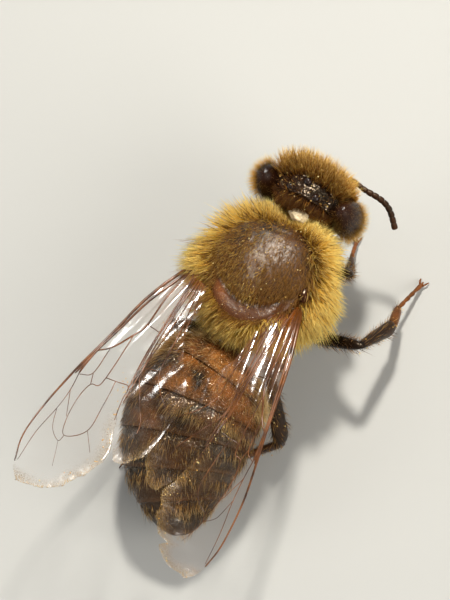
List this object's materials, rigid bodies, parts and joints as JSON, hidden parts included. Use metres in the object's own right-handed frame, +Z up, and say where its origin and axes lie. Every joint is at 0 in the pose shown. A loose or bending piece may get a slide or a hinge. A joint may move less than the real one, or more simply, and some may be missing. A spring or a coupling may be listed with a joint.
{
  "type": "honey bee (worker), still life-size model",
  "caption": "Life-size worker honey bee standing with furry golden-brown thorax, dark eyes, bent feelers, veined amber wings half folded back and a drooping dark banded abdomen.",
  "frame": {"origin": "middle of the underside of the bounding box, on the floor that the feet stand on", "axes": "+Z up, -Y ahead out of the face, +Y back along the wings and abdomen, +X to the bee's left"},
  "size_m": [0.0082, 0.0152, 0.0058],
  "materials": {
    "coat": "soft branched hair, golden tan with paler tips and browner roots",
    "back_plate": "dark brown shell with a satin grey sheen where the hair is worn off",
    "abdomen_plate": "dark brown, finely shagreened glossy plates with tan bands of short hair",
    "eye": "dark brown, finely faceted and glossy with short hairs",
    "mouthparts": "glossy reddish-brown shell",
    "antenna": "dark brown, satin, ringed",
    "wing_hinge": "glossy dark brown cap",
    "wing_membrane": "thin clear amber film with brown veins, glossy",
    "leg": "black-brown shell with golden hair",
    "foot": "orange-brown shell with short golden hair"
  },
  "bodies": {
    "root": {"pronotum": "coat", "scutum": "back_plate", "scutellum": "back_plate", "mesothorax": "coat", "propodeum": "coat", "head": "coat", "neck": "coat", "proboscis": "mouthparts", "eye_left": "eye", "mandible_left": "mouthparts", "antenna_scape_left": "antenna", "antenna_flagellum_left": "antenna", "eye_right": "eye", "mandible_right": "mouthparts", "antenna_scape_right": "antenna", "antenna_flagellum_right": "antenna", "petiole": "coat", "abdomen_segment_1": "abdomen_plate", "abdomen_segment_2": "abdomen_plate", "abdomen_segment_3": "abdomen_plate", "abdomen_segment_4": "abdomen_plate", "abdomen_segment_5": "abdomen_plate", "abdomen_segment_6": "abdomen_plate", "forewing_left": "wing_membrane", "hindwing_left": "wing_membrane", "tegula_left": "wing_hinge", "forewing_right": "wing_membrane", "hindwing_right": "wing_membrane", "tegula_right": "wing_hinge", "foreleg_left_coxa": "leg", "foreleg_left_femur": "leg", "foreleg_left_tibia": "leg", "foreleg_left_basitarsus": "foot", "foreleg_left_tarsus": "foot", "foreleg_right_coxa": "leg", "foreleg_right_femur": "leg", "foreleg_right_tibia": "leg", "foreleg_right_basitarsus": "foot", "foreleg_right_tarsus": "foot", "middleleg_left_coxa": "leg", "middleleg_left_femur": "leg", "middleleg_left_tibia": "leg", "middleleg_left_basitarsus": "foot", "middleleg_left_tarsus": "foot", "middleleg_right_coxa": "leg", "middleleg_right_femur": "leg", "middleleg_right_tibia": "leg", "middleleg_right_basitarsus": "foot", "middleleg_right_tarsus": "foot", "hindleg_left_coxa": "leg", "hindleg_left_femur": "leg", "hindleg_left_tibia": "leg", "hindleg_left_basitarsus": "foot", "hindleg_left_tarsus": "foot", "hindleg_right_coxa": "leg", "hindleg_right_femur": "leg", "hindleg_right_tibia": "leg", "hindleg_right_basitarsus": "foot", "hindleg_right_tarsus": "foot"}
  },
  "joints": []
}
